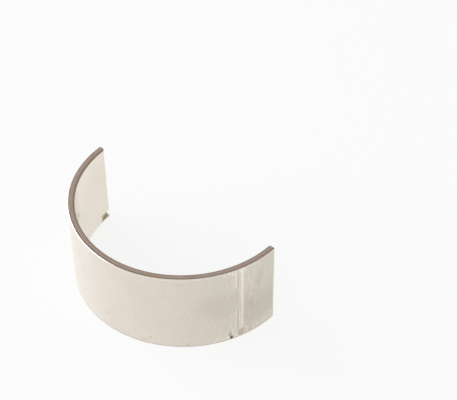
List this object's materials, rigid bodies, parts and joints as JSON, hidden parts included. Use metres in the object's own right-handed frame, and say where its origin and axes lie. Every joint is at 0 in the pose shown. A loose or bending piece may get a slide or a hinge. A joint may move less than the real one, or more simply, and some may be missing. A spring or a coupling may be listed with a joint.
{
  "type": "engine bearing shell",
  "caption": "Thin steel-backed half shell with a smooth bore, chamfered side edges and a pressed locating lug, lining one half of a round engine bearing.",
  "frame": {"origin": "on the bore axis, halfway along the width, on the plane where two half shells meet", "axes": "+Z along the bore axis; the crown of the half circle points to -Y; the joint faces are at +X and -X, with the locating lug at -X near the low side face"},
  "size_m": [0.057, 0.028, 0.0232],
  "materials": {
    "tinned_steel": "satin"
  },
  "bodies": {
    "root": {"bearing_shell": "tinned_steel"}
  },
  "joints": []
}
